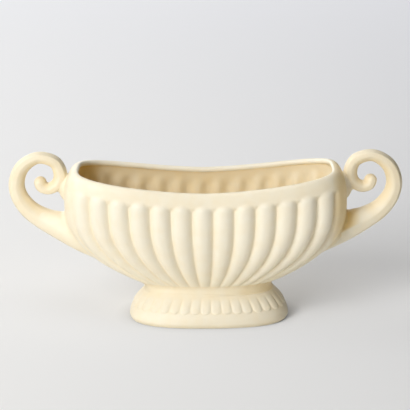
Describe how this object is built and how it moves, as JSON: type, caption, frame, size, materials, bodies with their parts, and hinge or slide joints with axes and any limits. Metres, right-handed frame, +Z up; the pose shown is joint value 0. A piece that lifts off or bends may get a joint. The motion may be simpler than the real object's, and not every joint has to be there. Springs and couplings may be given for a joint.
{
  "type": "mantel vase",
  "caption": "Long oval footed vase with convex ribs, a dipped rolled rim, a reeded oval foot and a C-scroll handle luted to each end, in matt cream glaze.",
  "frame": {"origin": "under the middle of the bowl, on the surface that the vase stands on", "axes": "+Z up, +X along the vase's length towards the right handle, +Y from front to back"},
  "size_m": [0.3298, 0.103, 0.1436],
  "materials": {
    "cream_glaze": "matt cream glaze",
    "glazed_slip": "matt cream glaze pooled over fired slip"
  },
  "bodies": {
    "root": {"bowl": "cream_glaze", "foot": "cream_glaze", "left_handle": "cream_glaze", "right_handle": "cream_glaze", "foot_slip_joint": "glazed_slip", "left_handle_upper_slip_joint": "glazed_slip", "left_handle_lower_slip_joint": "glazed_slip", "right_handle_upper_slip_joint": "glazed_slip", "right_handle_lower_slip_joint": "glazed_slip"}
  },
  "joints": []
}
